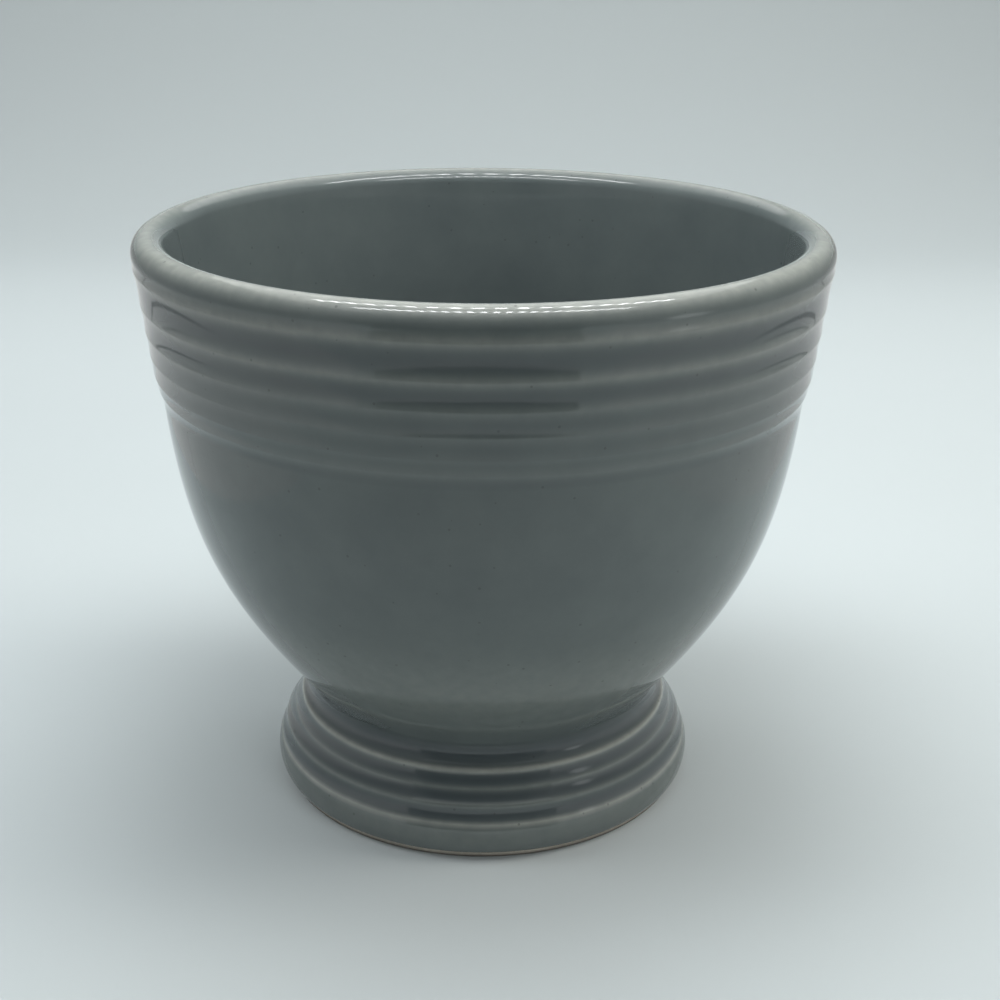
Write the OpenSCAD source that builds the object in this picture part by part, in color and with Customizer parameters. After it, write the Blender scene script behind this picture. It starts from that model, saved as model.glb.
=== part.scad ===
// Footed egg cup. A deep jiggered bowl with a rolled lip and a band of rings under it is
// luted to a hollow foot with rings of its own. Glaze covers all of it but the ring it stands on.
// Every solid is turned about the Z axis, and the cup stands on z = 0.

/* [Overall] */
// Outside diameter of the lip
lip_d = 86; // [80:0.5:94]
// Height from the table to the top of the lip
cup_h = 74.2; // [70:0.2:82]
// Thickness of the glaze
glaze_t = 0.35; // [0.2:0.05:0.45]

/* [Lip and walls] */
// Thickness of the rolled lip
lip_t = 4.2; // [3.6:0.1:5]
// Radius of the faint cove between the lip and the first ring
lip_cove_r = 6; // [4:0.5:9]
// Thickness of the bowl's wall where the ring band ends
wall_t = 3.5; // [3:0.1:4.2]
// Thickness of the bowl's floor in the middle
floor_t = 4.2; // [3.6:0.1:5.2]

/* [Ring band] */
// Depth of the first ring's crest below the middle of the lip
band_drop = 1.35; // [1.1:0.05:1.7]
// How far the first crest stands in from the lip's outside
first_crest_in = 0.07; // [0:0.01:0.3]
// Height from the first crest down to the last
band_h = 14.55; // [12:0.05:17]
// How far the crests draw in, in radius, from the first to the last
band_taper = 2.05; // [1.6:0.05:2.6]
// Radius that rounds each crest
crest_r = 1.5; // [0.8:0.1:1.9]
// Depth of the first and deepest groove between two crests
groove_depth = 0.11; // [0.07:0.01:0.16]
// Height of the step below the last crest
step_h = 2.3; // [1.8:0.1:3]
// How far that step draws in, in radius
step_in = 0.57; // [0.4:0.01:0.7]

/* [Bowl] */
// How far the start of the bowl's curve stands in from the top foot ring, in radius
neck_in = 0.95; // [0.6:0.05:1.2]
// Height of the start of the bowl's curve above the top foot ring's crest
neck_h = 3.75; // [3.4:0.05:4.4]
// Slope of the bowl where it leaves the neck, in degrees from level
bowl_start_slope = 52; // [48:1:56]
// Lean of the bowl where it meets the ring band, in degrees from upright
bowl_end_lean = 5; // [3:0.5:7]

/* [Joint] */
// Thickness of the slip between bowl and foot
slip_t = 0.4; // [0.2:0.05:0.6]
// Rise of the bowl's dished underside above the joint
underside_rise = 1.2; // [0.6:0.1:1.8]

/* [Foot] */
// Diameter of the foot at its widest
foot_d = 56.4; // [54:0.2:60]
// Height of the widest point above the table
bulge_z = 3.1; // [2.8:0.05:3.5]
// Radius that rounds the foot's plain base band
bulge_r = 4.5; // [4:0.1:6]
// Height at which the base band meets the first foot ring
base_band_h = 5.05; // [4.7:0.05:5.3]
// Height of the top foot ring's crest
foot_h = 10.75; // [10.2:0.05:11.2]
// How far the top foot ring stands in from the foot's widest, in radius
foot_taper = 3.4; // [2.9:0.1:3.8]
// Radius that rounds each foot ring's crest
foot_crest_r = 0.5; // [0.45:0.05:0.6]
// Depth of the grooves between the foot rings
foot_groove_depth = 0.15; // [0.11:0.01:0.24]
// Height of the bare clay at the bottom, where the glaze is wiped off
bare_h = 0.8; // [0.6:0.05:1.1]
// How far the bare clay stands in from the clay under the glaze
bare_in = 0.1; // [0.05:0.01:0.2]
// Radius that rounds both edges of the ring that touches the table
edge_r = 0.45; // [0.3:0.05:0.55]
// Thickness of the foot's wall, from its widest and its top ring to the hollow
foot_wall_t = 4.7; // [4.4:0.1:5.6]
// Radius of the glaze that pools in the corner at the hollow's top
pool_r = 1.2; // [0.8:0.1:1.8]

/* [Hidden] */
$fn = 128;

clay_colour = "#d9cdbb";
slip_colour = "#cfc1ad";
glaze_colour = "#6b7373";

// The band's crests from the top down, as shares of its height, taper and groove depth
crest_height_shares = [0, 0.289, 0.519, 0.715, 0.883, 1];
crest_taper_shares = [0, 0.27, 0.465, 0.64, 0.8, 1];
groove_depth_shares = [1, 1, 0.65, 0.45, 0.35];
// The foot's crests from the bottom up, as shares of the way from the first to the last
foot_out_shares = [0, 0.271, 0.678, 1];
foot_up_shares = [0, 0.377, 0.667, 1];
// How far each end of the bowl's two curves reaches towards its middle, as shares
outer_reach_shares = [0.43, 0.48];
inner_reach_shares = [0.85, 0.6];
// How many straight lines stand in for each kind of curve
crest_steps = 4;
groove_steps = 6;
band_steps = 8;
lip_steps = 18;
bowl_steps = 26;

// A unit direction at an angle from the +r axis
function polar(a) = [cos(a), sin(a)];
// The direction out of the clay, for a path that keeps the clay on its left
function out_of(v) = [v[1], -v[0]];
// The angle of a direction, from -90 up to 270 degrees
function angle_of(v) = let (a = atan2(v[1], v[0])) a < -90 ? a + 360 : a;
// An arc about c from angle a0 to a1, without its last point
function arc(c, r, a0, a1, n) = [for (i = [0:n - 1]) c + r * polar(a0 + (a1 - a0) * i / n)];
function reversed(p) = [for (i = [len(p) - 1:-1:0]) p[i]];
// The middle of a circle of radius g that touches circles (p, rp) and (q, rq) from outside the clay
function touching(p, rp, q, rq, g) =
    let (gap = norm(q - p), way = (q - p) / gap)
    let (along = (gap * gap + (rp + g) * (rp + g) - (rq + g) * (rq + g)) / (2 * gap))
    p + along * way + sqrt((rp + g) * (rp + g) - along * along) * out_of(way);
// The radius of a groove that is depth deep between two crests of radius cr, gap apart
function groove_radius(gap, depth, cr) = (gap * gap / 4 + depth * depth) / (2 * depth) - cr;
// The radius of a cove that leaves a curve at p, where n points out of the clay, and touches (q, rq)
function cove_radius(p, n, q, rq) = let (w = p - q) (w * w - rq * rq) / (2 * (rq - w * n));
// A cubic curve through four guide points, and its unit direction
function curve_point(g, u) =
    pow(1 - u, 3) * g[0] + 3 * pow(1 - u, 2) * u * g[1] + 3 * (1 - u) * u * u * g[2] + pow(u, 3) * g[3];
function curve_way(g, u) =
    let (v = pow(1 - u, 2) * (g[1] - g[0]) + 2 * (1 - u) * u * (g[2] - g[1]) + u * u * (g[3] - g[2]))
    v / norm(v);
// That curve moved into the clay by t, without its last point
function curve(g, t, n) = [for (i = [0:n - 1]) curve_point(g, i / n) - t * out_of(curve_way(g, i / n))];

// Diameters that follow the foot's: its top ring, and its hollow at the table and at the top
foot_top_d = foot_d - 2 * foot_taper;
hollow_d = foot_d - 2 * foot_wall_t;
hollow_top_d = foot_top_d - 2 * foot_wall_t;

// Base band: one round bulge from the bare clay up to the first foot crest
bulge_c = [foot_d / 2 - bulge_r, bulge_z];
bulge_a0 = -asin((bulge_z - bare_h) / bulge_r);
bulge_a1 = asin((base_band_h - bulge_z) / bulge_r);

// Foot rings: the middles of the crests' rounding circles, and of the grooves between them
foot_first = bulge_c + (bulge_r - foot_crest_r) * polar(bulge_a1);
foot_last = [foot_top_d / 2 - foot_crest_r, foot_h];
foot_crests = [for (i = [0:3]) [
    foot_first[0] + (foot_last[0] - foot_first[0]) * foot_out_shares[i],
    foot_first[1] + (foot_last[1] - foot_first[1]) * foot_up_shares[i]]];
foot_groove_radii = [for (i = [0:2])
    groove_radius(norm(foot_crests[i + 1] - foot_crests[i]), foot_groove_depth, foot_crest_r)];
foot_grooves = [for (i = [0:2])
    touching(foot_crests[i], foot_crest_r, foot_crests[i + 1], foot_crest_r, foot_groove_radii[i])];

// Lip, and the ring band's crests and grooves, counted from the top
lip_r = lip_t / 2;
lip_c = [lip_d / 2 - lip_r, cup_h - lip_r];
band_top = [lip_d / 2 - first_crest_in - crest_r, lip_c[1] - band_drop];
crests = [for (i = [0:5])
    band_top - [band_taper * crest_taper_shares[i], band_h * crest_height_shares[i]]];
groove_radii = [for (i = [0:4])
    groove_radius(norm(crests[i] - crests[i + 1]), groove_depth * groove_depth_shares[i], crest_r)];
grooves = [for (i = [0:4]) touching(crests[i + 1], crest_r, crests[i], crest_r, groove_radii[i])];

// Outside of the bowl, from the neck up to the ring band
bowl_start = [foot_top_d / 2 - neck_in, foot_h + neck_h];
bowl_start_way = polar(bowl_start_slope);
bowl_end = crests[5] + [crest_r - step_in, -step_h];
bowl_end_way = polar(90 - bowl_end_lean);
bowl_rise = bowl_end[1] - bowl_start[1];
bowl_guide = [
    bowl_start,
    bowl_start + outer_reach_shares[0] * bowl_rise * bowl_start_way,
    bowl_end - outer_reach_shares[1] * bowl_rise * bowl_end_way,
    bowl_end];

// Coves: the step under the ring band, the neck over the foot, and the one under the lip
step_r = cove_radius(bowl_end, out_of(bowl_end_way), crests[5], crest_r);
step_c = bowl_end + step_r * out_of(bowl_end_way);
neck_r = cove_radius(bowl_start, out_of(bowl_start_way), foot_crests[3], foot_crest_r);
neck_c = bowl_start + neck_r * out_of(bowl_start_way);
lip_cove_c = touching(crests[0], crest_r, lip_c, lip_r, lip_cove_r);

// Joint between bowl and foot, at the narrowest part of the neck
slip_z0 = neck_c[1] - slip_t / 2;
slip_z1 = neck_c[1] + slip_t / 2;
slip_a = asin(slip_t / 2 / (neck_r + glaze_t));
hollow_lean = (hollow_d - hollow_top_d) / 2 / slip_z1;
function hollow_wall(z) = [hollow_d / 2 - hollow_lean * z, z];
hollow_top = hollow_wall(slip_z1);
underside_z = slip_z1 + underside_rise;
underside_r = (hollow_top[0] * hollow_top[0] + underside_rise * underside_rise) / (2 * underside_rise);
underside_c = [0, underside_z - underside_r];
underside_a = asin(hollow_top[0] / underside_r);

// Inside of the bowl: straight from the lip to the end of the ring band, then one curve to the floor
floor_z = underside_z + floor_t + glaze_t;
inner_start = [bowl_end[0] - wall_t, bowl_end[1]];
inner_way = -polar(angle_of(lip_c - inner_start) + asin(lip_r / norm(lip_c - inner_start)));
inner_guide = [
    inner_start,
    inner_start + inner_reach_shares[0] * (inner_start[1] - floor_z) * inner_way,
    [inner_reach_shares[1] * inner_start[0], floor_z],
    [0, floor_z]];

// Outside of the foot, moved into the clay by t, up to where the neck's cove begins
function foot_side(t) = concat(
    arc(bulge_c, bulge_r - t, bulge_a0, bulge_a1, band_steps),
    [for (i = [0:3])
        let (a0 = i == 0 ? bulge_a1 : angle_of(foot_grooves[i - 1] - foot_crests[i]))
        let (a1 = angle_of((i == 3 ? neck_c : foot_grooves[i]) - foot_crests[i]))
        each concat(
            arc(foot_crests[i], foot_crest_r - t, a0, a1, crest_steps),
            i == 3 ? [] : arc(foot_grooves[i], foot_groove_radii[i] + t,
                angle_of(foot_crests[i] - foot_grooves[i]),
                angle_of(foot_crests[i + 1] - foot_grooves[i]), groove_steps))]);

// The neck's cove in three stretches: on the foot, on the slip and on the bowl
function neck_foot(t) =
    arc(neck_c, neck_r + t, angle_of(foot_crests[3] - neck_c), 180 + slip_a, groove_steps);
function neck_slip(t) = arc(neck_c, neck_r + t, 180 + slip_a, 180 - slip_a, 1);
function neck_bowl(t) =
    arc(neck_c, neck_r + t, 180 - slip_a, angle_of(bowl_start - neck_c), groove_steps);

// Ring band, moved into the clay by t, from the last crest up to the first and the lip's cove
function ring_band(t) = [for (i = [5:-1:0])
    let (below = i == 5 ? step_c : grooves[i])
    let (above = i == 0 ? lip_cove_c : grooves[i - 1])
    let (above_r = i == 0 ? lip_cove_r : groove_radii[i - 1])
    let (next = i == 0 ? lip_c : crests[i - 1])
    each concat(
        arc(crests[i], crest_r - t, angle_of(below - crests[i]), angle_of(above - crests[i]), crest_steps),
        arc(above, above_r + t, angle_of(crests[i] - above), angle_of(next - above), groove_steps))];

// The whole bowl from the joint up the outside, over the lip and down to the middle of the floor
function bowl_side(t) = concat(
    neck_bowl(t),
    curve(bowl_guide, t, bowl_steps),
    arc(step_c, step_r + t, angle_of(bowl_end - step_c), angle_of(crests[5] - step_c), groove_steps),
    ring_band(t),
    arc(lip_c, lip_r - t, angle_of(lip_cove_c - lip_c), angle_of(out_of(inner_way)), lip_steps),
    [lip_c + (lip_r - t) * out_of(inner_way)],
    curve(inner_guide, t, bowl_steps),
    [[0, floor_z - t]]);

// The bowl's underside over the foot's hollow, lowered by t, from the wall to the middle
function underside(t) = concat(
    arc(underside_c, underside_r - t, 90 - underside_a, 90, band_steps),
    [[0, underside_z - t]]);

// Deep clay bowl with its rolled lip and rings
module bowl() {
    color(clay_colour)
    rotate_extrude()
    polygon(concat(bowl_side(glaze_t), reversed(underside(0))));
}

// Hollow clay foot with its rings and the bare ring that it stands on
module foot() {
    outer_edge = foot_side(glaze_t)[0][0] - bare_in - edge_r;
    inner_edge = hollow_wall(edge_r)[0] + edge_r;
    color(clay_colour)
    rotate_extrude()
    polygon(concat(
        arc([inner_edge, edge_r], edge_r, 180, 270, crest_steps),
        [[inner_edge, 0]],
        arc([outer_edge, edge_r], edge_r, -90, 0, crest_steps),
        [[outer_edge + edge_r, edge_r]],
        foot_side(glaze_t),
        neck_foot(glaze_t),
        [neck_slip(glaze_t)[0], hollow_wall(slip_z0)]));
}

// Thin ring of slip that joins the foot to the bowl
module luting_slip() {
    color(slip_colour)
    rotate_extrude()
    polygon(concat(neck_slip(glaze_t), [neck_bowl(glaze_t)[0], hollow_top, hollow_wall(slip_z0)]));
}

// Glaze over the outside, the lip and the inside, from the bare clay to the middle of the floor
module glaze_coat() {
    color(glaze_colour)
    rotate_extrude()
    polygon(concat(
        foot_side(0), neck_foot(0), neck_slip(0), bowl_side(0),
        reversed(concat(foot_side(glaze_t), neck_foot(glaze_t), neck_slip(glaze_t), bowl_side(glaze_t)))));
}

// Glaze in the foot's hollow, up its wall, round a pooled corner and over the bowl's underside
module foot_glaze() {
    wall_way = (hollow_top - hollow_wall(0)) / norm(hollow_top - hollow_wall(0));
    wall_in = -out_of(wall_way);
    from = hollow_wall(0) + (glaze_t + pool_r) * wall_in - underside_c;
    reach = underside_r - glaze_t - pool_r;
    pool_c = underside_c + from
        + (sqrt(pow(from * wall_way, 2) - from * from + reach * reach) - from * wall_way) * wall_way;
    wall_shift = glaze_t / wall_in[0] * polar(0);
    color(glaze_colour)
    rotate_extrude()
    polygon(concat(
        [hollow_wall(bare_h) + wall_shift, hollow_wall(bare_h)],
        underside(0),
        [[0, underside_z - glaze_t]],
        reversed(arc(underside_c, underside_r - glaze_t, angle_of(pool_c - underside_c), 90, band_steps)),
        reversed(arc(pool_c, pool_r, angle_of(-wall_in), angle_of(pool_c - underside_c), crest_steps))));
}

bowl();
foot();
luting_slip();
glaze_coat();
foot_glaze();
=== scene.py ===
from math import asin, atan2, cos, degrees, pi, radians, sin, sqrt

import bpy
import numpy as np
from mathutils import Matrix, Vector


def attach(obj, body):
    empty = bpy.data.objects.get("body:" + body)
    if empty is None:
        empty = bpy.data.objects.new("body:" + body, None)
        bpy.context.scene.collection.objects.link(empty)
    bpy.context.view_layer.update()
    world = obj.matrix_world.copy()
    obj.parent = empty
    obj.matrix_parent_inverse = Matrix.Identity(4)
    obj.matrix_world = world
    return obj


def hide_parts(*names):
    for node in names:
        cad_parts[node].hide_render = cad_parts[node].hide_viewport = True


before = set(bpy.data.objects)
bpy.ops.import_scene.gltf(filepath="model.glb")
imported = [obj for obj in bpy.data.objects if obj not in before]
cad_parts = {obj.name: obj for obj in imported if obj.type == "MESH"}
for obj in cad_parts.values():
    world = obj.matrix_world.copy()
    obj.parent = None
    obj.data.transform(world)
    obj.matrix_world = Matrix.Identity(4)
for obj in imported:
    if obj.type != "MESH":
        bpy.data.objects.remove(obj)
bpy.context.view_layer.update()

MM = 0.001

# Sizes of the cup in millimetres, as its solids have them
LIP_D, CUP_H, GLAZE_T = 86.0, 74.2, 0.35
LIP_R, LIP_COVE_R, WALL_T, FLOOR_T = 2.1, 6.0, 3.5, 4.2
BAND_DROP, FIRST_CREST_IN, BAND_H, BAND_TAPER = 1.35, 0.07, 14.55, 2.05
CREST_R, GROOVE_DEPTH, STEP_H, STEP_IN = 1.5, 0.11, 2.3, 0.57
CREST_HEIGHT_SHARES = (0, 0.289, 0.519, 0.715, 0.883, 1)
CREST_TAPER_SHARES = (0, 0.27, 0.465, 0.64, 0.8, 1)
GROOVE_DEPTH_SHARES = (1, 1, 0.65, 0.45, 0.35)
BOWL_START_SLOPE, BOWL_END_LEAN, NECK_IN, NECK_H = 52.0, 5.0, 0.95, 3.75
OUTER_REACH, INNER_REACH = (0.43, 0.48), (0.85, 0.6)
FOOT_D, FOOT_TAPER, FOOT_H, FOOT_WALL_T = 56.4, 3.4, 10.75, 4.7
BULGE_Z, BULGE_R, BASE_BAND_H = 3.1, 4.5, 5.05
FOOT_CREST_R, FOOT_GROOVE_DEPTH = 0.5, 0.15
FOOT_OUT_SHARES, FOOT_UP_SHARES = (0, 0.271, 0.678, 1), (0, 0.377, 0.667, 1)
BARE_H, BARE_IN, EDGE_R = 0.8, 0.1, 0.45
SLIP_T, UNDERSIDE_RISE, POOL_R = 0.4, 1.2, 1.2

# How thin the glaze is, from 0 to 1, on the base bulge, each ring's crest and the lip, and how strong the
# painted light is that lightens the lower bowl. Each line says how far along its stretch that is greatest,
# as a share of the stretch, and how wide that is each way, as a share of the rounding's radius or on the
# bowl in millimetres.
BULGE_THIN, BOWL_PAINTED_LIGHT, LIP_THIN = 0.2, 0.25, 1.0
FOOT_THIN, BAND_THIN = (0.75, 0.22, 0.22, 0.85), (0.46, 0.34, 0.17, 0.09, 0.05, 0.11)
CREST_LINE, FOOT_LINE, BOWL_PAINTED_LIGHT_LINE, LIP_LINE = (0.7, 0.6), (0.6, 0.85), (0.25, 9.0), (0.48, 0.75)
# How far the glaze fills the foot's grooves and the neck, the step under the band, and the hollow above each
# of the band's crests from the top down, from 0 to 1
FOOT_POOLED, STEP_POOLED = 0.9, 0.3
BAND_POOLED = (0.1, 0.62, 0.55, 0.26, 0.16, 0.1)
# Length of the rounded bead at the glaze's edge, in millimetres along its face
BEAD_LENGTH = 1.0

# Hand-made unevenness in millimetres, and the seed of each: the outer glaze's edge and its face, the edge
# and the runs of the glaze in the hollow, and the sponged ring that the cup stands on
EDGE_WANDER, FACE_SWELL, HOLLOW_WANDER, HOLLOW_RUNS, RING_WEAR = 0.16, 0.02, 0.22, 0.03, 0.02
EDGE_SEED, FACE_SEED, HOLLOW_SEED, RUNS_SEED, RING_SEED = 5, 11, 23, 31, 41
# Pitch of the swell in millimetres, of the runs in steps, and of the wear in millimetres
FACE_PITCH, RUNS_PITCH, RING_PITCH = 17, 9, 2.0
# How far from the edge its wander is gone and the swell is full, and how far from the cup's axis the swell
# and the runs start to die down
WANDER_END, SWELL_START, SWELL_END, RUNS_END = 3, 4, 12, 8
# How much of the glaze's thickness the first two points of its edge in the hollow draw back, which rounds it
EDGE_DRAW = (0.8, 0.15)
# Height to which the standing ring is worn and carries painted contact shade, and over how much of it the
# shade fades
WORN_AND_SHADED_H, CONTACT_SHADE_FADE = 0.6, 0.25
# Heights of the clay's points down the hollow's wall
WALL_HEIGHTS = (9.0, 5.0, 2.0, 1.2)

# How many steps go round the cup, and along each stretch of its outline
TURN_STEPS = 192
BULGE_STEPS, FOOT_RING_STEPS, CREST_STEPS, GROOVE_STEPS, NECK_STEPS = 16, 8, 8, 12, 14
OUTER_STEPS, STEP_STEPS, LIP_STEPS, STRAIGHT_STEPS, INNER_STEPS = 56, 10, 26, 12, 52
WALL_STEPS, POOL_STEPS, DISH_STEPS, DISH_BACK_STEPS, EDGE_STEPS, RING_STEPS = 16, 12, 24, 12, 6, 12

# The camera stood 193 mm in front of the cup's axis and 113 mm above the table, and looked down 21 degrees
CAMERA_PLACE = (0.0, -0.19346, 0.11265)
CAMERA_PITCH, CAMERA_YAW, CAMERA_ROLL = radians(21.261), radians(0.642), radians(0.423)
CAMERA_LENS, SENSOR = 56.507, 36.0

# The studio in millimetres. A wall stands at each side with a lower wing behind it, and the front card, the
# ceiling and the paper close it in. A fade is where a glow starts and stops changing.
WALL_X, WALL_TOP, WALL_BACK, WALL_FADE = 110, 200, 64, (20, 70)
WING_BACK, WING_TOP = 240, 75
FRONT_LEFT, FRONT_RIGHT, FRONT_Y, FRONT_TOP, FRONT_FADE = -88, 74, -150, 190, (3, 13)
CEILING_Z, CEILING_BACK, CEILING_FADE = 205, 280, (-60, FRONT_Y)
PATCH_LOW, PATCH_HIGH, PATCH_MIDDLE, PATCH_FADE = (108, -115, 30), (108, -45, 95), (108, -80, 60), (4, 26)
SEAM_X, SEAM_W, SEAM_TOP = 109, 3, 48
PAPER_W, PAPER_FRONT, PAPER_TOP, BEND_Y, BEND_R, BEND_STEPS = 2400, -900, 900, 320, 250, 24
FAR_MIDDLE, FAR_FADE = (0, 300, 0), (430, 800)
# Two rails on each side wall: which side, the y of their front end, and the heights that each spans
RAILS = ((-1, -20, ((31.8, 33.4), (39.2, 40.0))), (1, -30, ((34.0, 35.6), (38.2, 39.0))))
RAIL_FADE = (-15, 45)
# Two rows of small lamps under the ceiling: their y, how many there are, and how wide each is
LAMP_ROWS = ((14, 19, 4.4), (-54, 25, 3.2))
LAMP_LEFT, LAMP_SPAN, LAMP_Z, LAMP_DEPTH, LAMP_POWER = -70, 152, 200, 18, 0.0012
# Numbers of the axes that point back and up
BACK, UP = 1, 2
# How strongly the cards glow: low is at the table, and a rail is brighter at its front end
FRONT_LOW_LIGHT, FRONT_LIGHT, WALL_LOW_LIGHT, WALL_LIGHT = 0.65, 0.03, 0.8, 0.3
RAIL_FRONT_LIGHT, RAIL_LIGHT, SEAM_LIGHT, CEILING_LIGHT, PATCH_LIGHT = 0.68, 0.3, 0.12, 1.3, 1.4
# Light from all round, and how pale the camera sees the world and the far paper
WORLD_LIGHT, FAR_LIGHT = 0.15, 0.5


def make_camera():
    """Right, up and back directions from yaw, pitch and roll make the camera's matrix."""
    ahead = np.array([sin(CAMERA_YAW) * cos(CAMERA_PITCH), cos(CAMERA_YAW) * cos(CAMERA_PITCH),
                      -sin(CAMERA_PITCH)])
    level = np.array([cos(CAMERA_YAW), -sin(CAMERA_YAW), 0.0])
    rise = np.cross(level, ahead)
    right = cos(CAMERA_ROLL) * level + sin(CAMERA_ROLL) * rise
    up = cos(CAMERA_ROLL) * rise - sin(CAMERA_ROLL) * level
    data = bpy.data.cameras.new("camera")
    data.sensor_width = data.sensor_height = SENSOR
    data.lens = CAMERA_LENS
    data.clip_start = 0.01
    camera = bpy.data.objects.new("camera", data)
    bpy.context.scene.collection.objects.link(camera)
    turn = np.eye(4)
    turn[:3, 0], turn[:3, 1], turn[:3, 2], turn[:3, 3] = right, up, -ahead, CAMERA_PLACE
    camera.matrix_world = Matrix(turn.tolist())
    bpy.context.scene.camera = camera


# Outline of the cup in millimetres. Each stretch has its points (r, z), the way out of the clay there, how
# far the glaze fills a hollow, how thin it is at the one point where it is thinnest, which on the lower bowl
# is painted light instead, and how wide that is

def polar(a):
    """The unit direction at an angle in degrees from +r."""
    return np.array([np.cos(np.radians(a)), np.sin(np.radians(a))])


def out_of(v):
    """The direction a quarter turn clockwise from v, which is out of the clay on these paths."""
    return np.array([v[1], -v[0]])


def angle_of(v):
    """A direction's angle in degrees, from -90 up to 270."""
    a = degrees(atan2(v[1], v[0]))
    return a + 360 if a < -90 else a


def arc(centre, radius, a0, a1, steps, thin_glaze_and_painted_light=0.0, pooled=0.0, line=CREST_LINE):
    """Points c + r * (cos a, sin a) from a0 to a1. A crest's way out is from its middle, and a hollow's to
    it. Glaze pools in it as a sine. line says how far along the glaze is thinnest, as a share of the arc,
    and how wide that line is each way, as a share of the radius."""
    share = np.arange(steps) / steps
    a = np.radians(a0 + (a1 - a0) * share)
    way = np.stack([np.cos(a), np.sin(a)], 1)
    side = 1.0 if a1 > a0 else -1.0
    peak = np.zeros(steps)
    peak[int(steps * line[0])] = thin_glaze_and_painted_light
    width = np.full(steps, line[1] * radius)
    return centre + radius * way, side * way, pooled * np.sin(pi * share), peak, width


def curve(guide, steps, thin_glaze_and_painted_light=0.0, line=(0.5, 1.0)):
    """Cubic Bezier curve with four guide points, and its way out square to it. line says how far along the
    painted light on the lower bowl is brightest, and how wide that line is each way in millimetres."""
    u = (np.arange(steps) / steps)[:, None]
    g = np.array(guide)
    at = (1 - u) ** 3 * g[0] + 3 * (1 - u) ** 2 * u * g[1] + 3 * (1 - u) * u ** 2 * g[2] + u ** 3 * g[3]
    way = (1 - u) ** 2 * (g[1] - g[0]) + 2 * (1 - u) * u * (g[2] - g[1]) + u ** 2 * (g[3] - g[2])
    way /= np.linalg.norm(way, axis=1)[:, None]
    peak = np.zeros(steps)
    peak[int(steps * line[0])] = thin_glaze_and_painted_light
    return at, np.stack([way[:, 1], -way[:, 0]], 1), np.zeros(steps), peak, np.full(steps, line[1])


def touching(p, rp, q, rq, g):
    """The middle of a circle of radius g that touches circles (p, rp) and (q, rq) from outside the clay."""
    gap = np.linalg.norm(q - p)
    way = (q - p) / gap
    along = (gap * gap + (rp + g) ** 2 - (rq + g) ** 2) / (2 * gap)
    return p + along * way + sqrt((rp + g) ** 2 - along ** 2) * out_of(way)


def groove_radius(gap, depth, crest):
    """The radius of a groove that is depth deep between two crests of equal radius, gap apart."""
    return (gap * gap / 4 + depth * depth) / (2 * depth) - crest


def cove_radius(p, n, q, rq):
    """The radius of a cove that leaves a curve at p, square to n, and touches circle (q, rq)."""
    w = p - q
    return (w @ w - rq * rq) / (2 * (rq - w @ n))


def joined(parts):
    """Stretches of outline end to end."""
    return [np.concatenate(column) for column in zip(*parts)]


FOOT_TOP_R = FOOT_D / 2 - FOOT_TAPER
BULGE_C = np.array([FOOT_D / 2 - BULGE_R, BULGE_Z])
BULGE_A0 = -degrees(asin((BULGE_Z - BARE_H) / BULGE_R))
BULGE_A1 = degrees(asin((BASE_BAND_H - BULGE_Z) / BULGE_R))
FOOT_FIRST = BULGE_C + (BULGE_R - FOOT_CREST_R) * polar(BULGE_A1)
FOOT_LAST = np.array([FOOT_TOP_R - FOOT_CREST_R, FOOT_H])
FOOT_CRESTS = [FOOT_FIRST + (FOOT_LAST - FOOT_FIRST) * np.array(share)
               for share in zip(FOOT_OUT_SHARES, FOOT_UP_SHARES)]
LIP_C = np.array([LIP_D / 2 - LIP_R, CUP_H - LIP_R])
BAND_TOP = np.array([LIP_D / 2 - FIRST_CREST_IN - CREST_R, LIP_C[1] - BAND_DROP])
CRESTS = [BAND_TOP - np.array([BAND_TAPER * t, BAND_H * h])
          for t, h in zip(CREST_TAPER_SHARES, CREST_HEIGHT_SHARES)]
BOWL_START = np.array([FOOT_TOP_R - NECK_IN, FOOT_H + NECK_H])
BOWL_END = CRESTS[5] + np.array([CREST_R - STEP_IN, -STEP_H])
BOWL_START_WAY, BOWL_END_WAY = polar(BOWL_START_SLOPE), polar(90 - BOWL_END_LEAN)
STEP_R = cove_radius(BOWL_END, out_of(BOWL_END_WAY), CRESTS[5], CREST_R)
STEP_C = BOWL_END + STEP_R * out_of(BOWL_END_WAY)
NECK_R = cove_radius(BOWL_START, out_of(BOWL_START_WAY), FOOT_CRESTS[3], FOOT_CREST_R)
NECK_C = BOWL_START + NECK_R * out_of(BOWL_START_WAY)
LIP_COVE_C = touching(CRESTS[0], CREST_R, LIP_C, LIP_R, LIP_COVE_R)
SLIP_Z0, SLIP_Z1 = NECK_C[1] - SLIP_T / 2, NECK_C[1] + SLIP_T / 2
HOLLOW_R = FOOT_D / 2 - FOOT_WALL_T
HOLLOW_TOP_R = FOOT_TOP_R - FOOT_WALL_T
HOLLOW_LEAN = (HOLLOW_R - HOLLOW_TOP_R) / SLIP_Z1
UNDERSIDE_Z = SLIP_Z1 + UNDERSIDE_RISE
UNDERSIDE_R = (HOLLOW_TOP_R ** 2 + UNDERSIDE_RISE ** 2) / (2 * UNDERSIDE_RISE)
UNDERSIDE_C = np.array([0.0, UNDERSIDE_Z - UNDERSIDE_R])
FLOOR_Z = UNDERSIDE_Z + FLOOR_T + GLAZE_T
INNER_START = np.array([BOWL_END[0] - WALL_T, BOWL_END[1]])


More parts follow.
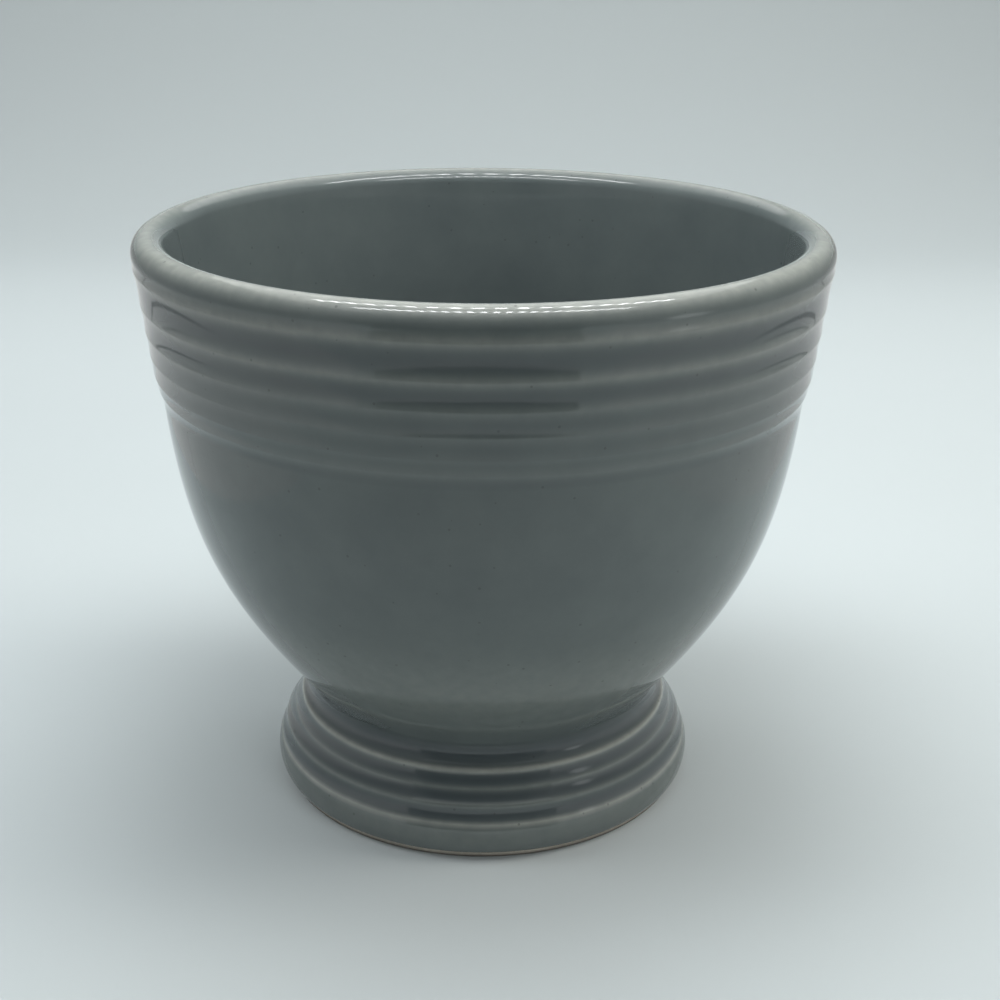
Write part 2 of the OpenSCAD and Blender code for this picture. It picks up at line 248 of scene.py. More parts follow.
def foot_rings():
    """Base bulge, then four crests with three round grooves between them."""
    parts = [arc(BULGE_C, BULGE_R, BULGE_A0, BULGE_A1, BULGE_STEPS, BULGE_THIN)]
    below = BULGE_A1
    for i, crest in enumerate(FOOT_CRESTS):
        if i < 3:
            above = FOOT_CRESTS[i + 1]
            radius = groove_radius(np.linalg.norm(above - crest), FOOT_GROOVE_DEPTH, FOOT_CREST_R)
            hollow = touching(crest, FOOT_CREST_R, above, FOOT_CREST_R, radius)
        else:
            hollow = NECK_C
        parts.append(arc(crest, FOOT_CREST_R, below, angle_of(hollow - crest), FOOT_RING_STEPS, FOOT_THIN[i],
                         line=FOOT_LINE))
        if i < 3:
            parts.append(arc(hollow, radius, angle_of(crest - hollow), angle_of(above - hollow),
                             FOOT_RING_STEPS, pooled=FOOT_POOLED))
            below = angle_of(hollow - above)
    return parts


def band_rings():
    """Six crests from the lowest up, each followed by a groove and the top one by the lip's cove."""
    parts, below = [], STEP_C
    for i in range(5, -1, -1):
        if i:
            above_c = CRESTS[i - 1]
            depth = GROOVE_DEPTH * GROOVE_DEPTH_SHARES[i - 1]
            radius = groove_radius(np.linalg.norm(CRESTS[i] - above_c), depth, CREST_R)
            above = touching(CRESTS[i], CREST_R, above_c, CREST_R, radius)
        else:
            above_c, radius, above = LIP_C, LIP_COVE_R, LIP_COVE_C
        parts.append(arc(CRESTS[i], CREST_R, angle_of(below - CRESTS[i]), angle_of(above - CRESTS[i]),
                         CREST_STEPS, BAND_THIN[i]))
        parts.append(arc(above, radius, angle_of(CRESTS[i] - above), angle_of(above_c - above),
                         GROOVE_STEPS, pooled=BAND_POOLED[i]))
        below = above
    return parts


def outside():
    """The glaze's whole face: up the outside from the bare clay, over the lip and down to the floor's
    middle."""
    rise = BOWL_END[1] - BOWL_START[1]
    lip_lean = angle_of(LIP_C - INNER_START) + degrees(asin(LIP_R / np.linalg.norm(LIP_C - INNER_START)))
    inner_way = -polar(lip_lean)
    outer_guide = (BOWL_START, BOWL_START + OUTER_REACH[0] * rise * BOWL_START_WAY,
                   BOWL_END - OUTER_REACH[1] * rise * BOWL_END_WAY, BOWL_END)
    inner_guide = (INNER_START, INNER_START + INNER_REACH[0] * (INNER_START[1] - FLOOR_Z) * inner_way,
                   np.array([INNER_REACH[1] * INNER_START[0], FLOOR_Z]), np.array([0.0, FLOOR_Z]))
    lip_end = angle_of(out_of(inner_way))
    top = LIP_C + LIP_R * polar(lip_end)
    share = (np.arange(STRAIGHT_STEPS) / STRAIGHT_STEPS)[:, None]
    none = np.zeros(STRAIGHT_STEPS)
    straight = (top + (INNER_START - top) * share, np.repeat(out_of(inner_way)[None], STRAIGHT_STEPS, 0),
                none, none, none + 1)
    return joined(foot_rings() + [
        arc(NECK_C, NECK_R, angle_of(FOOT_CRESTS[3] - NECK_C), angle_of(BOWL_START - NECK_C),
            NECK_STEPS, pooled=FOOT_POOLED),
        # The lower bowl carries a band of painted light, drawn like a line of thin glaze
        curve(outer_guide, OUTER_STEPS, BOWL_PAINTED_LIGHT, BOWL_PAINTED_LIGHT_LINE),
        arc(STEP_C, STEP_R, angle_of(BOWL_END - STEP_C), angle_of(CRESTS[5] - STEP_C),
            STEP_STEPS, pooled=STEP_POOLED),
    ] + band_rings() + [
        arc(LIP_C, LIP_R, angle_of(LIP_COVE_C - LIP_C), lip_end, LIP_STEPS, LIP_THIN, line=LIP_LINE),
        straight,
        curve(inner_guide, INNER_STEPS),
        (np.array([[0.0, FLOOR_Z]]), np.array([[0.0, 1.0]]), np.zeros(1), np.zeros(1), np.ones(1)),
    ])


def turned(name, r, z, marks=None, closed=False):
    """Surface of turning: x = r sin t, y = -r cos t, and z as it is, for t once round. r and z are grids of
    profile steps by turn steps, in millimetres. The profile runs from pole to pole, each one point with a
    fan of triangles, or is closed and ends where it began. marks holds grids of values by their names."""
    rows, turns = r.shape
    t = np.linspace(0, 2 * pi, turns, endpoint=False)
    grid = np.stack([r * np.sin(t), -r * np.cos(t), z], -1) * MM
    # A row that lies on the axis is one point
    keep = np.ones((rows, turns), bool)
    keep[r.max(axis=1) < 1e-9, 1:] = False
    number = (np.cumsum(keep) - 1).reshape(rows, turns)
    a, b = (number, np.roll(number, -1, 0)) if closed else (number[:-1], number[1:])
    quads = np.stack([a, np.roll(a, -1, 1), np.roll(b, -1, 1), b], -1)
    faces = quads[0 if closed else 1:None if closed else -1].reshape(-1, 4).tolist()
    if not closed:
        faces += quads[0][:, [0, 2, 3]].tolist() + quads[-1][:, [0, 1, 2]].tolist()
    mesh = bpy.data.meshes.new(name)
    mesh.from_pydata(grid[keep].tolist(), [], faces)
    mesh.polygons.foreach_set("use_smooth", np.ones(len(mesh.polygons), bool))
    for key, values in (marks or {}).items():
        mark = mesh.attributes.new(key, "FLOAT", "POINT")
        mark.data.foreach_set("value", values[keep].astype(np.float32))
    mesh.update()
    piece = bpy.data.objects.new(name, mesh)
    bpy.context.scene.collection.objects.link(piece)
    return piece


def waves(s, t, pitch, seed, count=7):
    """Soft hand-made unevenness from -1 to 1: the mean of sin(n t + pi k s / pitch + phase) over a few drawn
    n, k and phases, with n from 1 to 8 whole waves round and k from -2 to 2."""
    draw = np.random.default_rng(seed)
    total = np.zeros(np.broadcast(s, t).shape)
    for _ in range(count):
        total += np.sin(draw.integers(1, 9) * t + draw.uniform(-2, 2) * pi * s / pitch
                        + draw.uniform(0, 2 * pi))
    return total / count


def glaze_coat():
    """Shell of glaze: the outside profile turned, and its back the same profile moved in by the glaze's
    thickness. It runs from the axis down the back to the bare line, where a bead rounded as
    sqrt(1 - (1 - s)^2) joins it to the face, and up the face to the axis again. A line of thin glaze, and
    the band of painted light on the lower bowl, fade away from their middles as exp(-(s / width)^2)."""
    at, out, pooled, thin_glaze_and_painted_light, width = outside()
    way = np.r_[0, np.cumsum(np.linalg.norm(np.diff(at, axis=0), axis=1))]
    peaks = np.flatnonzero(thin_glaze_and_painted_light)
    thin_glaze_and_painted_light = (thin_glaze_and_painted_light[peaks] * np.exp(-((way[:, None] - way[peaks]) / width[peaks]) ** 2)).max(axis=1)
    t = np.linspace(0, 2 * pi, TURN_STEPS, endpoint=False)[None, :]
    s = way[:, None] + EDGE_WANDER * waves(0, t, 1, EDGE_SEED) * np.clip(1 - way / WANDER_END, 0, 1)[:, None]
    # Past the profile's start the edge goes straight down
    r, z = np.interp(s, way, at[:, 0]), np.interp(s, way, at[:, 1]) + np.minimum(s, 0)
    out_r, out_z = np.interp(s, way, out[:, 0]), np.interp(s, way, out[:, 1])
    bead = np.sqrt(1 - np.clip(1 - way / BEAD_LENGTH, 0, 1) ** 2)[:, None]
    swell = FACE_SWELL * waves(way[:, None], t, FACE_PITCH, FACE_SEED)
    swell = swell * np.clip(way / SWELL_START, 0, 1)[:, None] * np.clip(r / SWELL_END, 0, 1)
    drop = GLAZE_T * (1 - bead) - swell
    face_r, face_z = r - drop * out_r, z - drop * out_z
    # The back lies on clay and is never seen, so every third step is enough
    back_r, back_z = (r - GLAZE_T * out_r)[:0:-3], (z - GLAZE_T * out_z)[:0:-3]
    face_r[-1] = back_r[0] = 0
    # The pale mark holds thin glaze on crests and the lip, and painted light on the lower bowl
    marks = {"thin_glaze_and_painted_light": thin_glaze_and_painted_light, "pooled": pooled}
    return turned("grey_glaze_coat", np.concatenate([back_r, face_r]), np.concatenate([back_z, face_z]),
                  {key: np.concatenate([0 * back_r, np.repeat(mark[:, None], TURN_STEPS, 1)])
                   for key, mark in marks.items()})


def hollow_wall(z):
    """Point of the hollow's wall at height z."""
    return np.array([HOLLOW_R - HOLLOW_LEAN * z, z])


def foot_glaze():
    """Glaze in the foot's hollow: up the leaning wall, round a pooled corner and over the dished underside,
    with its back against the clay. A circle of the pool's radius about pool_c touches wall and underside.
    The edge wanders in height, and less up the wall as the cube of what is left of it."""
    wall_way = hollow_wall(SLIP_Z1) - hollow_wall(0)
    wall_way = wall_way / np.linalg.norm(wall_way)
    wall_in = -out_of(wall_way)
    start = hollow_wall(0) + (GLAZE_T + POOL_R) * wall_in - UNDERSIDE_C
    reach = UNDERSIDE_R - GLAZE_T - POOL_R
    pool_c = UNDERSIDE_C + start + (
        sqrt((start @ wall_way) ** 2 - start @ start + reach ** 2) - start @ wall_way) * wall_way
    pool_a0, pool_a1 = angle_of(-wall_in), angle_of(pool_c - UNDERSIDE_C)
    foot = hollow_wall(BARE_H) + GLAZE_T * wall_in
    knee = pool_c + POOL_R * polar(pool_a0)
    share = np.linspace(0, 1, WALL_STEPS, endpoint=False)[:, None]
    wall = foot + (knee - foot) * share
    pool = arc(pool_c, POOL_R, pool_a0, pool_a1, POOL_STEPS)[0]
    dish = arc(UNDERSIDE_C, UNDERSIDE_R - GLAZE_T, pool_a1, 90.0, DISH_STEPS)[0]
    face = np.concatenate([wall, pool, dish, [[0.0, UNDERSIDE_Z - GLAZE_T]]])
    dish_back = arc(UNDERSIDE_C, UNDERSIDE_R, angle_of(hollow_wall(SLIP_Z1) - UNDERSIDE_C), 90.0,
                    DISH_BACK_STEPS)[0]
    back = np.concatenate([[hollow_wall(BARE_H)], dish_back, [[0.0, UNDERSIDE_Z]]])
    t = np.linspace(0, 2 * pi, TURN_STEPS, endpoint=False)[None, :]
    r, z = np.repeat(face[:, :1], TURN_STEPS, 1), np.repeat(face[:, 1:], TURN_STEPS, 1)
    wander = HOLLOW_WANDER * waves(0, t, 1, HOLLOW_SEED)
    z[:len(wall)] += wander * np.linspace(1, 0, len(wall))[:, None] ** 3
    r[:2] += GLAZE_T * np.array(EDGE_DRAW)[:, None]
    runs = HOLLOW_RUNS * np.abs(waves(np.arange(len(face))[:, None], t, RUNS_PITCH, RUNS_SEED))
    z[len(wall):] -= (runs * np.clip(r / RUNS_END, 0, 1))[len(wall):]
    back_r, back_z = np.repeat(back[:, :1], TURN_STEPS, 1), np.repeat(back[:, 1:], TURN_STEPS, 1)
    back_z[0] += wander[0]
    # Glaze gathers in the corner, and less with the distance s from its middle as exp(-s^2)
    gathered = np.exp(-((np.arange(len(face)) - len(wall) - len(pool) / 2) / len(pool)) ** 2)[::-1, None]
    return turned("foot_hollow_glaze", np.concatenate([r[::-1], back_r]), np.concatenate([z[::-1], back_z]),
                  {"pooled": np.concatenate([0 * r + gathered, 0 * back_r])})


def foot_clay():
    """The clay foot: its ringed side under the glaze, the joint's face, the hollow's wall, and the bare ring
    that it stands on. The ring's edges are arcs, its face was sponged, and its outer edge is darkened with
    painted contact shade."""
    at, out = joined(foot_rings() + [
        arc(NECK_C, NECK_R, angle_of(FOOT_CRESTS[3] - NECK_C), 180.0, EDGE_STEPS)])[:2]
    side = (at - GLAZE_T * out)[::2]
    outer = side[0][0] - BARE_IN - EDGE_R
    inner = hollow_wall(EDGE_R)[0] + EDGE_R
    neck = [NECK_C[0] - sqrt((NECK_R + GLAZE_T) ** 2 - (SLIP_T / 2) ** 2), SLIP_Z0]
    stand = [(inner + (outer - inner) * k / RING_STEPS, 0.0) for k in range(RING_STEPS)]
    ring = np.concatenate([
        arc(np.array([inner, EDGE_R]), EDGE_R, 180, 270, EDGE_STEPS)[0],
        stand,
        arc(np.array([outer, EDGE_R]), EDGE_R, -90, 0, EDGE_STEPS)[0],
        [[outer + EDGE_R, EDGE_R], [outer + EDGE_R, BARE_H]],
        side[side[:, 1] < SLIP_Z0],
        [neck, hollow_wall(SLIP_Z0)],
        [hollow_wall(z) for z in WALL_HEIGHTS],
    ])
    t = np.linspace(0, 2 * pi, TURN_STEPS, endpoint=False)[None, :]
    r, z = np.repeat(ring[:, :1], TURN_STEPS, 1), np.repeat(ring[:, 1:], TURN_STEPS, 1)
    low = np.clip(1 - z / WORN_AND_SHADED_H, 0, 1)
    z = z + RING_WEAR * low * (1 + waves(r, t, RING_PITCH, RING_SEED))
    # Painted contact shade: darkest at the ring's outer edge, low down where it meets the table
    painted_contact_shade = np.clip((r - outer) / EDGE_R, 0, 1) * np.clip((WORN_AND_SHADED_H - z) / CONTACT_SHADE_FADE, 0, 1)
    return turned("clay_foot", r, z, {"painted_contact_shade": painted_contact_shade}, closed=True)


# Colours and nodes

def linear(code):
    """sRGB hex to linear: (c / 12.92) below 0.04045 and ((c + 0.055) / 1.055) to the power 2.4 above."""
    c = np.array([int(code[i:i + 2], 16) for i in (1, 3, 5)]) / 255
    return tuple(np.where(c < 0.04045, c / 12.92, ((c + 0.055) / 1.055) ** 2.4)) + (1.0,)


def add_node(tree, kind, settings=None, links=None):
    """One node with its settings, its sockets' values and what is linked into them. A key of settings is an
    attribute's name, and a key of links is an input's name or number, with a value or an output for it."""
    node = tree.nodes.new(kind)
    for key, value in (settings or {}).items():
        setattr(node, key, value)
    for key, value in (links or {}).items():
        socket = node.inputs[key]
        if isinstance(value, bpy.types.NodeSocket):
            tree.links.new(value, socket)
        else:
            socket.default_value = value
    return node


def new_material(name):
    """An empty node material."""
    material = bpy.data.materials.new(name)
    material.use_nodes = True
    material.node_tree.nodes.clear()
    return material


def grey_glaze():
    """Glossy opaque grey earthenware glaze, dipped and fired. It draws thin on crests and the lip, where the
    clay warms and lightens it, fills grooves darker, and has faint mottling, fine dark specks and a soft
    peel. The same pale colour, laid on as painted light, lightens a band on the lower bowl."""
    material = new_material("grey_earthenware_glaze")
    tree = material.node_tree
    place = add_node(tree, "ShaderNodeTexCoord").outputs["Object"]
    thin_glaze_and_painted_light = add_node(tree, "ShaderNodeAttribute", {"attribute_name": "thin_glaze_and_painted_light"}).outputs["Fac"]
    pooled = add_node(tree, "ShaderNodeAttribute", {"attribute_name": "pooled"}).outputs["Fac"]
    # Cloudy patches 7 mm wide, as dipped glaze melts
    mottle = add_node(tree, "ShaderNodeTexNoise", links={
        "Vector": place, "Scale": 1 / (7 * MM), "Detail": 5.0, "Roughness": 0.62}).outputs["Fac"]
    patch = add_node(tree, "ShaderNodeMapRange", links={
        "Value": mottle, "From Min": 0.3, "From Max": 0.7}).outputs[0]
    body = add_node(tree, "ShaderNodeMix", {"data_type": "RGBA"}, {
        0: patch, "A": linear("#4d5454"), "B": linear("#535a59")}).outputs["Result"]
    # Thin glaze breaks up along a crest every 1.5 mm
    broken = add_node(tree, "ShaderNodeTexNoise", links={
        "Vector": place, "Scale": 1 / (1.5 * MM), "Detail": 3.0}).outputs["Fac"]
    cover = add_node(tree, "ShaderNodeMapRange", links={
        "Value": broken, "From Min": 0.3, "From Max": 0.7, "To Min": 0.72, "To Max": 1.0}).outputs[0]
    thin_glaze_and_painted_light = add_node(tree, "ShaderNodeMath", {"operation": "MULTIPLY"}, {0: thin_glaze_and_painted_light, 1: cover}).outputs[0]
    # The pale colour is thin glaze on crests and the lip, and painted light on the lower bowl
    body = add_node(tree, "ShaderNodeMix", {"data_type": "RGBA"}, {
        0: thin_glaze_and_painted_light, "A": body, "B": linear("#8e9089")}).outputs["Result"]
    # Pooled glaze is deeper, and so darker and bluer
    filled = add_node(tree, "ShaderNodeMath", {"operation": "MULTIPLY"}, {0: pooled, 1: 0.85}).outputs[0]
    body = add_node(tree, "ShaderNodeMix", {"data_type": "RGBA"}, {
        0: filled, "A": body, "B": linear("#383e41")}).outputs["Result"]
    # Dark iron specks 0.3 mm wide, one in three cells of 1.6 mm
    cells = add_node(tree, "ShaderNodeTexVoronoi", links={"Vector": place, "Scale": 1 / (1.6 * MM)})
    speck = add_node(tree, "ShaderNodeMath", {"operation": "LESS_THAN"}, {
        0: cells.outputs["Distance"], 1: 0.1}).outputs[0]
    chance = add_node(tree, "ShaderNodeSeparateColor", links={0: cells.outputs["Color"]}).outputs[0]
    rare = add_node(tree, "ShaderNodeMapRange", links={
        "Value": chance, "From Min": 0.68, "From Max": 0.72, "To Max": 0.35}).outputs[0]
    speck = add_node(tree, "ShaderNodeMath", {"operation": "MULTIPLY"}, {0: speck, 1: rare}).outputs[0]
    body = add_node(tree, "ShaderNodeMix", {"data_type": "RGBA"}, {
        0: speck, "A": body, "B": linear("#2b2d2c")}).outputs["Result"]
    # The gloss changes a little from patch to patch, and a shallow peel 1.8 mm wide softens what it mirrors
    rough = add_node(tree, "ShaderNodeMapRange", links={
        "Value": mottle, "From Min": 0.3, "From Max": 0.7, "To Min": 0.03, "To Max": 0.07}).outputs[0]
    peel = add_node(tree, "ShaderNodeTexNoise", links={
        "Vector": place, "Scale": 1 / (1.8 * MM), "Detail": 2.0}).outputs["Fac"]
    bump = add_node(tree, "ShaderNodeBump", links={
        "Strength": 0.015, "Distance": 0.1 * MM, "Height": peel}).outputs[0]
    shader = add_node(tree, "ShaderNodeBsdfPrincipled", links={
        "Base Color": body, "Roughness": rough, "IOR": 1.5, "Normal": bump})
    add_node(tree, "ShaderNodeOutputMaterial", links={0: shader.outputs[0]})
    return material


def bare_clay():
    """Fired cream earthenware, turned and sponged. Matt and a little stained in patches, with fine grog that
    catches light, and painted contact shade darkens the ring's outer edge at the table."""
    material = new_material("bare_earthenware")
    tree = material.node_tree
    place = add_node(tree, "ShaderNodeTexCoord").outputs["Object"]
    # Grog 0.6 mm wide, in the colour and as a fine roughness
    grain = add_node(tree, "ShaderNodeTexNoise", links={
        "Vector": place, "Scale": 1 / (0.6 * MM), "Detail": 6.0, "Roughness": 0.7}).outputs["Fac"]
    body = add_node(tree, "ShaderNodeMix", {"data_type": "RGBA"}, {
        0: grain, "A": linear("#8f877a"), "B": linear("#cbc4b8")}).outputs["Result"]
    # Soil rubbed on in patches 9 mm wide
    stain = add_node(tree, "ShaderNodeTexNoise", links={
        "Vector": place, "Scale": 1 / (9 * MM), "Detail": 3.0}).outputs["Fac"]
    soil = add_node(tree, "ShaderNodeMapRange", links={
        "Value": stain, "From Min": 0.35, "From Max": 0.8, "To Max": 0.6}).outputs[0]
    body = add_node(tree, "ShaderNodeMix", {"data_type": "RGBA"}, {
        0: soil, "A": body, "B": linear("#857d72")}).outputs["Result"]
    # Painted contact shade: dark where the ring's outer edge meets the table
    edge_shade = add_node(tree, "ShaderNodeAttribute", {"attribute_name": "painted_contact_shade"}).outputs["Fac"]
    body = add_node(tree, "ShaderNodeMix", {"data_type": "RGBA"}, {
        0: edge_shade, "A": body, "B": linear("#3f3c37")}).outputs["Result"]
    bump = add_node(tree, "ShaderNodeBump", links={
        "Strength": 0.5, "Distance": 0.1 * MM, "Height": grain}).outputs[0]
    shader = add_node(tree, "ShaderNodeBsdfPrincipled", links={
        "Base Color": body, "Roughness": 0.85, "IOR": 1.5, "Normal": bump})
    add_node(tree, "ShaderNodeOutputMaterial", links={0: shader.outputs[0]})
    return material


def joining_slip():
    """Fired slip, brushed on wet. Matt, a shade darker than the clay, with a coarse smeared grain."""
    material = new_material("fired_joining_slip")
    tree = material.node_tree
    place = add_node(tree, "ShaderNodeTexCoord").outputs["Object"]
    # Smears 1.5 mm wide, in the colour and as ridges
    smear = add_node(tree, "ShaderNodeTexNoise", links={
        "Vector": place, "Scale": 1 / (1.5 * MM), "Detail": 4.0, "Distortion": 1.2}).outputs["Fac"]
    body = add_node(tree, "ShaderNodeMix", {"data_type": "RGBA"}, {
        0: smear, "A": linear("#ab9a84"), "B": linear("#d8ccba")}).outputs["Result"]
    bump = add_node(tree, "ShaderNodeBump", links={
        "Strength": 0.6, "Distance": 0.15 * MM, "Height": smear}).outputs[0]
    shader = add_node(tree, "ShaderNodeBsdfPrincipled", links={
        "Base Color": body, "Roughness": 0.9, "IOR": 1.5, "Normal": bump})
    add_node(tree, "ShaderNodeOutputMaterial", links={0: shader.outputs[0]})
    return material


# Studio: paper floor and sweep, lamps, and cards that only reflections and soft light see

def fade(tree, axis, span, start, end):
    """A value that goes smoothly from start to end over a span in millimetres, along an axis or away from a
    point."""
    place = add_node(tree, "ShaderNodeTexCoord").outputs["Object"]
    if isinstance(axis, tuple):
        along = add_node(tree, "ShaderNodeVectorMath", {"operation": "DISTANCE"}, {
            0: place, 1: Vector(axis) * MM}).outputs["Value"]
    else:
        along = add_node(tree, "ShaderNodeSeparateXYZ", links={0: place}).outputs[axis]
    return add_node(tree, "ShaderNodeMapRange", {"interpolation_type": "SMOOTHSTEP"}, {
        "Value": along, "From Min": span[0] * MM, "From Max": span[1] * MM,
        "To Min": start, "To Max": end}).outputs[0]


def glowing(name, strength, axis=None, span=(0, 1), end_strength=0.0):
    """Card that glows evenly, or whose glow changes smoothly along an axis over a span in millimetres. With
    a point for the axis, the glow fades with the distance from it and lies over what is behind."""
    material = new_material(name)
    tree = material.node_tree
    if axis is not None:
        strength = fade(tree, axis, span, strength, end_strength)
    shader = add_node(tree, "ShaderNodeEmission", links={"Color": linear("#f7fbfb"), "Strength": strength})
    if isinstance(axis, tuple):
        clear = add_node(tree, "ShaderNodeBsdfTransparent")
        shader = add_node(tree, "ShaderNodeAddShader", links={0: shader.outputs[0], 1: clear.outputs[0]})
    add_node(tree, "ShaderNodeOutputMaterial", links={0: shader.outputs[0]})
    return material


def card(name, low, high, material, diffuse=False):
    """Flat upright or level card between two opposite corners in millimetres. Only glossy surfaces see it,
    and matt ones too where diffuse is true."""
    (x0, y0, z0), (x1, y1, z1) = low, high
    upright = z1 > z0
    corners = [low, (x1, y1 if upright else y0, z0), high, (x0, y0 if upright else y1, z1)]
    mesh = bpy.data.meshes.new(name)
    mesh.from_pydata((np.array(corners, float) * MM).tolist(), [], [(0, 1, 2, 3)])
    mesh.materials.append(material)
    piece = bpy.data.objects.new(name, mesh)
    bpy.context.scene.collection.objects.link(piece)
    piece.visible_camera, piece.visible_shadow, piece.visible_diffuse = False, False, diffuse


def pale_paper():
    """Matt white paper. The camera and reflections see it greyer than its bounce light is, as a photograph
    does. Far from the cup, where no lamp reaches, the camera alone sees it pale."""
    material = new_material("pale_grey_paper")
    tree = material.node_tree
    light = add_node(tree, "ShaderNodeLightPath").outputs
    seen = add_node(tree, "ShaderNodeMath", {"operation": "MAXIMUM"}, {
        0: light["Is Camera Ray"], 1: light["Is Glossy Ray"]}).outputs[0]
    body = add_node(tree, "ShaderNodeMix", {"data_type": "RGBA"}, {
        0: seen, "A": linear("#dfe5e5"), "B": linear("#b9bfbf")}).outputs["Result"]
    shader = add_node(tree, "ShaderNodeBsdfDiffuse", links={"Color": body})
    far = add_node(tree, "ShaderNodeMath", {"operation": "MULTIPLY"}, {
        0: fade(tree, FAR_MIDDLE, FAR_FADE, 0.0, FAR_LIGHT), 1: light["Is Camera Ray"]}).outputs[0]
    glow = add_node(tree, "ShaderNodeEmission", links={"Color": linear("#f7fbfb"), "Strength": far})
    shader = add_node(tree, "ShaderNodeAddShader", links={0: shader.outputs[0], 1: glow.outputs[0]})
    add_node(tree, "ShaderNodeOutputMaterial", links={0: shader.outputs[0]})
    return material


def sweep():
    """Paper floor that curves up behind: level as far as the bend, a quarter round, then upright."""
    a = np.linspace(0, pi / 2, BEND_STEPS + 1)[1:]
    y = np.r_[PAPER_FRONT, BEND_Y, BEND_Y + BEND_R * np.sin(a), BEND_Y + BEND_R]
    z = np.r_[0, 0, BEND_R - BEND_R * np.cos(a), PAPER_TOP]
    x = np.array([-PAPER_W / 2, PAPER_W / 2])
    grid = np.stack(np.broadcast_arrays(x[None, :], y[:, None], z[:, None]), -1) * MM
    first = 2 * np.arange(len(y) - 1)
    faces = np.stack([first, first + 1, first + 3, first + 2], -1)
    mesh = bpy.data.meshes.new("paper_sweep")
    mesh.from_pydata(grid.reshape(-1, 3).tolist(), [], faces.tolist())
    mesh.polygons.foreach_set("use_smooth", np.ones(len(mesh.polygons), bool))
    mesh.materials.append(pale_paper())
    paper = bpy.data.objects.new("paper_sweep", mesh)
    bpy.context.scene.collection.objects.link(paper)


def lamp(name, place, aim, size, power, colour, glossy=False, diffuse=True):
    """Area lamp in millimetres, turned to face the point it is aimed at. The camera never sees it, and
    glossy and diffuse say whether mirroring and matt surfaces do."""
    data = bpy.data.lights.new(name, "AREA")
    data.shape, data.size, data.size_y = "RECTANGLE", size[0] * MM, size[1] * MM
    data.energy, data.color = power, linear(colour)[:3]
    light = bpy.data.objects.new(name, data)
    light.location = Vector(place) * MM
    light.rotation_euler = (Vector(aim) - Vector(place)).to_track_quat("-Z", "Y").to_euler()
    bpy.context.scene.collection.objects.link(light)
    light.visible_camera, light.visible_glossy, light.visible_diffuse = False, glossy, diffuse


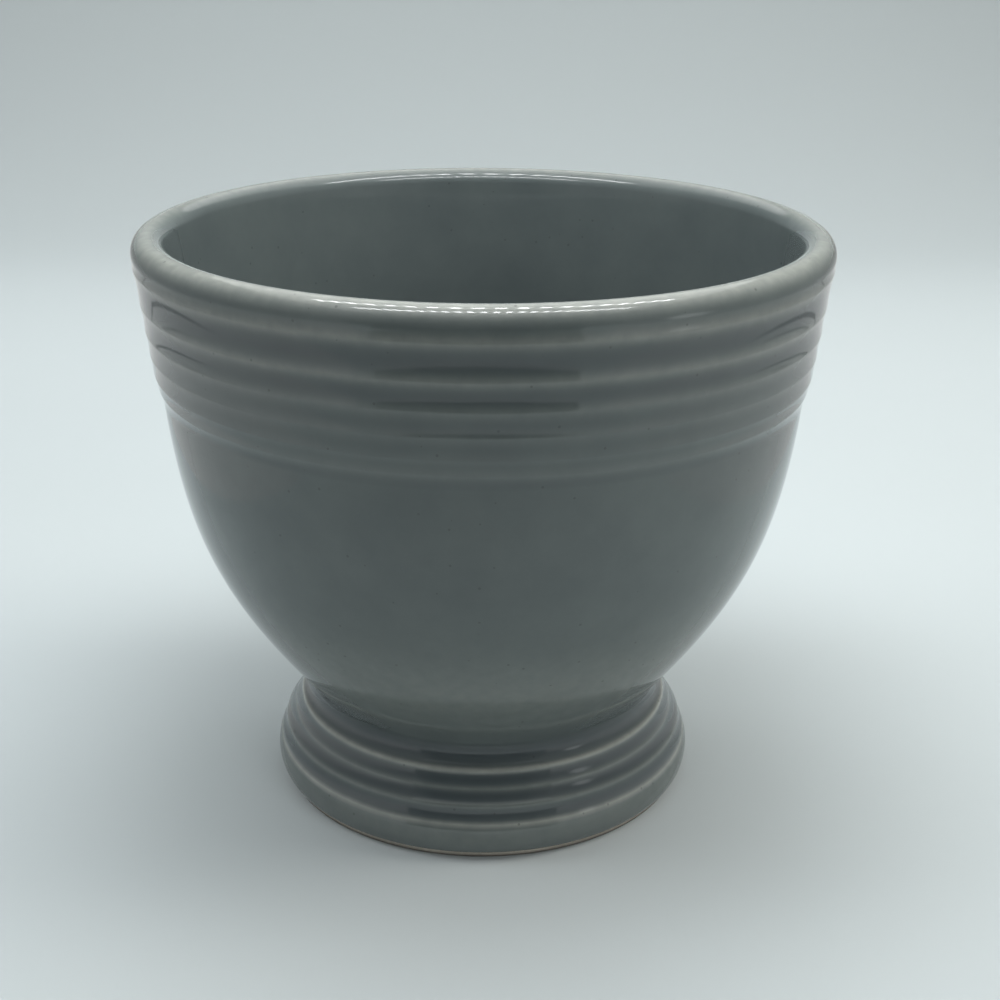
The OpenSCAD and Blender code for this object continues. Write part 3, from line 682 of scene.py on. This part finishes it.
def studio():
    """Light from all round, pale to the camera, soft lamps above, behind and at both sides, and what the
    glaze mirrors: walls that darken upwards and run on behind, a dark front that is pale at the table, a
    dark seam at each wall's end, two rails on each wall that fade towards the front, a soft bright patch at
    the right, and a ceiling that darkens towards the front, with two rows of small lamps under it."""
    world = bpy.data.worlds.new("tent_light")
    world.use_nodes = True
    tree = world.node_tree
    tree.nodes.clear()
    seen = add_node(tree, "ShaderNodeLightPath").outputs["Is Camera Ray"]
    strength = add_node(tree, "ShaderNodeMath", {"operation": "MULTIPLY_ADD"}, {
        0: seen, 1: FAR_LIGHT - WORLD_LIGHT, 2: WORLD_LIGHT}).outputs[0]
    glow = add_node(tree, "ShaderNodeBackground", links={"Color": linear("#f6fbfb"), "Strength": strength})
    add_node(tree, "ShaderNodeOutputWorld", links={0: glow.outputs[0]})
    bpy.context.scene.world = world
    for name, place, aim, size, power, colour in (
            ("top_softbox", (0, 0, 212), (0, 0, 0), (100, 100), 0.22, "#f8fcff"),
            ("fore_softbox", (0, -40, 260), (0, 0, 0), (160, 160), 0.2, "#f8fcff"),
            ("back_softbox", (0, 230, 260), (0, 260, 0), (700, 120), 1.0, "#f8fcff"),
            ("left_softbox", (-420, 0, 320), (-60, 0, 0), (200, 300), 0.9, "#f8fcff"),
            ("right_softbox", (420, 0, 320), (60, 0, 0), (200, 300), 1.25, "#fffdf8"),
            ("left_fill", (-200, -300, 200), (0, 0, 20), (200, 150), 0.14, "#f8fcff"),
            ("right_fill", (200, -300, 200), (0, 0, 20), (200, 150), 0.36, "#f8fcff")):
        lamp(name, place, aim, size, power, colour)
    front = glowing("open_front", FRONT_LOW_LIGHT, UP, FRONT_FADE, FRONT_LIGHT)
    wall = glowing("silver_wall", WALL_LOW_LIGHT, UP, WALL_FADE, WALL_LIGHT)
    ceiling = glowing("white_ceiling", CEILING_LIGHT, BACK, CEILING_FADE, WALL_LIGHT)
    seam = glowing("dark_seam", SEAM_LIGHT)
    patch = glowing("bright_patch", PATCH_LIGHT, PATCH_MIDDLE, PATCH_FADE)
    card("open_front", (FRONT_LEFT, FRONT_Y, 0), (FRONT_RIGHT, FRONT_Y, FRONT_TOP), front, diffuse=True)
    card("bright_patch", PATCH_LOW, PATCH_HIGH, patch)
    card("white_ceiling", (-WALL_X, FRONT_Y, CEILING_Z), (WALL_X, CEILING_BACK, CEILING_Z), ceiling)
    seam_back = WALL_BACK + SEAM_W
    for side, near, rows in RAILS:
        number, wall_x, seam_x = side + 1, WALL_X * side, SEAM_X * side
        fades = (near + RAIL_FADE[0], near + RAIL_FADE[1])
        rail = glowing("rail_seam_%d" % number, RAIL_FRONT_LIGHT, BACK, fades, RAIL_LIGHT)
        card("silver_wall_%d" % number, (wall_x, FRONT_Y, 0), (wall_x, WALL_BACK, WALL_TOP), wall)
        card("wall_wing_%d" % number, (wall_x, WALL_BACK, 0), (wall_x, WING_BACK, WING_TOP), wall)
        card("end_seam_%d" % number, (seam_x, WALL_BACK, rows[0][0]), (seam_x, seam_back, SEAM_TOP), seam)
        for row, (low, high) in enumerate(rows):
            card("rail_seam_%d_%d" % (number, row), (seam_x, near, low), (seam_x, seam_back, high), rail)
    for row, (y, count, width) in enumerate(LAMP_ROWS):
        for k in range(count):
            x = LAMP_LEFT + LAMP_SPAN * k / (count - 1)
            lamp("led_%d_%d" % (row, k), (x, y, LAMP_Z), (x, y, 0), (width, LAMP_DEPTH), LAMP_POWER * width,
                 "#fbfdff", glossy=True, diffuse=False)


make_camera()
glaze = grey_glaze()
clay = bare_clay()
slip = joining_slip()

for maker, material, node, slot_name in (
        (glaze_coat, glaze, "glaze_coat", "grey_glaze"),
        (foot_glaze, glaze, "foot_glaze", "grey_glaze"),
        (foot_clay, clay, "foot", "clay")):
    piece = maker()
    piece.data.materials.append(material)
    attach(piece, "root")
    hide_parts(node)

for node, material in (("bowl", clay), ("luting_slip", slip)):
    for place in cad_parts[node].material_slots:
        place.material = material

sweep()
studio()
bpy.context.scene.view_settings.view_transform = "Standard"
